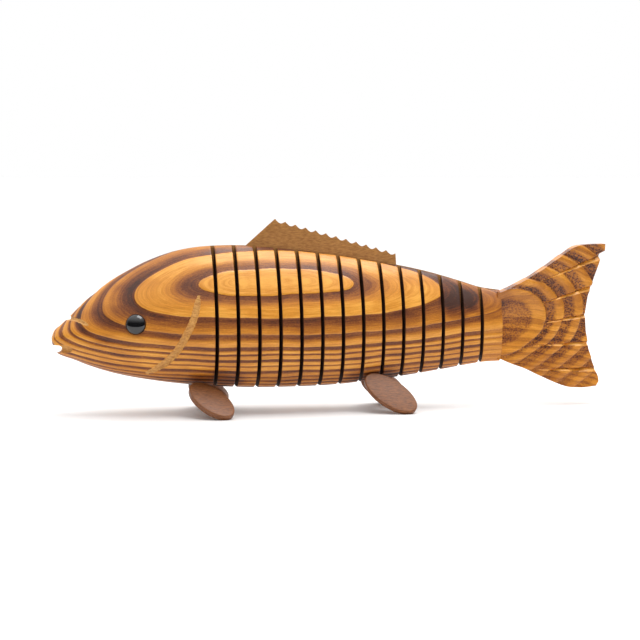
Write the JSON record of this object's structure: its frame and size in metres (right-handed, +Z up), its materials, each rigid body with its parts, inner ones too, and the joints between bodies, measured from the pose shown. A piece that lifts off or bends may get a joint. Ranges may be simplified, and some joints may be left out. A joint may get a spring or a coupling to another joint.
{
  "type": "articulated wooden fish",
  "caption": "Carved and torched wooden fish sawn across into slices strung on an upright leather strip, so that it bends from side to side and stands on four paddle fins.",
  "frame": {"origin": "centre of the bounding box at the floor that the four fins stand on", "axes": "+X along the fish towards the tail, the snout points to -X, +Y towards the fish's right side, +Z up"},
  "size_m": [0.3, 0.0604, 0.1027],
  "materials": {
    "torched_pine": "torched and brushed softwood under a clear amber varnish, satin gloss, with bold light and dark grain",
    "fin_wood": "thin softwood paddles, stained brown, with burnt edges and a satin varnish",
    "strip_leather": "tan strip leather with cut edges, matt",
    "eye_bead": "domed black bead, high gloss"
  },
  "bodies": {
    "head": {"head": "torched_pine", "strip_head": "strip_leather", "eye_left": "eye_bead", "eye_right": "eye_bead", "fin_front_left": "fin_wood", "fin_front_right": "fin_wood"},
    "slice_01": {"slice_01": "torched_pine", "strip_01": "strip_leather"},
    "slice_02": {"slice_02": "torched_pine", "strip_02": "strip_leather"},
    "slice_03": {"slice_03": "torched_pine", "strip_03": "strip_leather"},
    "slice_04": {"slice_04": "torched_pine", "strip_04": "strip_leather"},
    "slice_05": {"slice_05": "torched_pine", "strip_05": "strip_leather"},
    "slice_06": {"slice_06": "torched_pine", "strip_06": "strip_leather"},
    "slice_07": {"slice_07": "torched_pine", "strip_07": "strip_leather"},
    "slice_08": {"slice_08": "torched_pine", "strip_08": "strip_leather"},
    "slice_09": {"slice_09": "torched_pine", "strip_09": "strip_leather", "fin_rear_left": "fin_wood", "fin_rear_right": "fin_wood"},
    "slice_10": {"slice_10": "torched_pine", "strip_10": "strip_leather"},
    "slice_11": {"slice_11": "torched_pine", "strip_11": "strip_leather"},
    "slice_12": {"slice_12": "torched_pine", "strip_12": "strip_leather"},
    "slice_13": {"slice_13": "torched_pine", "strip_13": "strip_leather"},
    "tail": {"tail": "torched_pine", "strip_tail": "strip_leather"}
  },
  "joints": [
    {"name": "bend_01", "type": "hinge", "parent": "head", "child": "slice_01", "pos_m": [-0.0658, 0, 0.05], "axis": [0, 0, 1], "range_deg": [-4, 4], "stiffness_Nm_per_rad": 0.05},
    {"name": "bend_02", "type": "hinge", "parent": "slice_01", "child": "slice_02", "pos_m": [-0.05462, 0, 0.05], "axis": [0, 0, 1], "range_deg": [-4, 4], "stiffness_Nm_per_rad": 0.05},
    {"name": "bend_03", "type": "hinge", "parent": "slice_02", "child": "slice_03", "pos_m": [-0.04344, 0, 0.05], "axis": [0, 0, 1], "range_deg": [-4.1, 4.1], "stiffness_Nm_per_rad": 0.05},
    {"name": "bend_04", "type": "hinge", "parent": "slice_03", "child": "slice_04", "pos_m": [-0.03226, 0, 0.05], "axis": [0, 0, 1], "range_deg": [-4.2, 4.2], "stiffness_Nm_per_rad": 0.05},
    {"name": "bend_05", "type": "hinge", "parent": "slice_04", "child": "slice_05", "pos_m": [-0.02108, 0, 0.05], "axis": [0, 0, 1], "range_deg": [-4.4, 4.4], "stiffness_Nm_per_rad": 0.05},
    {"name": "bend_06", "type": "hinge", "parent": "slice_05", "child": "slice_06", "pos_m": [-0.0099, 0, 0.05], "axis": [0, 0, 1], "range_deg": [-4.5, 4.5], "stiffness_Nm_per_rad": 0.05},
    {"name": "bend_07", "type": "hinge", "parent": "slice_06", "child": "slice_07", "pos_m": [0.00128, 0, 0.05], "axis": [0, 0, 1], "range_deg": [-4.7, 4.7], "stiffness_Nm_per_rad": 0.05},
    {"name": "bend_08", "type": "hinge", "parent": "slice_07", "child": "slice_08", "pos_m": [0.01246, 0, 0.05], "axis": [0, 0, 1], "range_deg": [-5.1, 5.1], "stiffness_Nm_per_rad": 0.05},
    {"name": "bend_09", "type": "hinge", "parent": "slice_08", "child": "slice_09", "pos_m": [0.02364, 0, 0.05], "axis": [0, 0, 1], "range_deg": [-5.6, 5.6], "stiffness_Nm_per_rad": 0.05},
    {"name": "bend_10", "type": "hinge", "parent": "slice_09", "child": "slice_10", "pos_m": [0.03482, 0, 0.05], "axis": [0, 0, 1], "range_deg": [-6.2, 6.2], "stiffness_Nm_per_rad": 0.05},
    {"name": "bend_11", "type": "hinge", "parent": "slice_10", "child": "slice_11", "pos_m": [0.046, 0, 0.05], "axis": [0, 0, 1], "range_deg": [-7, 7], "stiffness_Nm_per_rad": 0.05},
    {"name": "bend_12", "type": "hinge", "parent": "slice_11", "child": "slice_12", "pos_m": [0.05718, 0, 0.05], "axis": [0, 0, 1], "range_deg": [-7.9, 7.9], "stiffness_Nm_per_rad": 0.05},
    {"name": "bend_13", "type": "hinge", "parent": "slice_12", "child": "slice_13", "pos_m": [0.06836, 0, 0.05], "axis": [0, 0, 1], "range_deg": [-9.1, 9.1], "stiffness_Nm_per_rad": 0.05},
    {"name": "bend_14", "type": "hinge", "parent": "slice_13", "child": "tail", "pos_m": [0.07954, 0, 0.05], "axis": [0, 0, 1], "range_deg": [-10.7, 10.7], "stiffness_Nm_per_rad": 0.05}
  ]
}
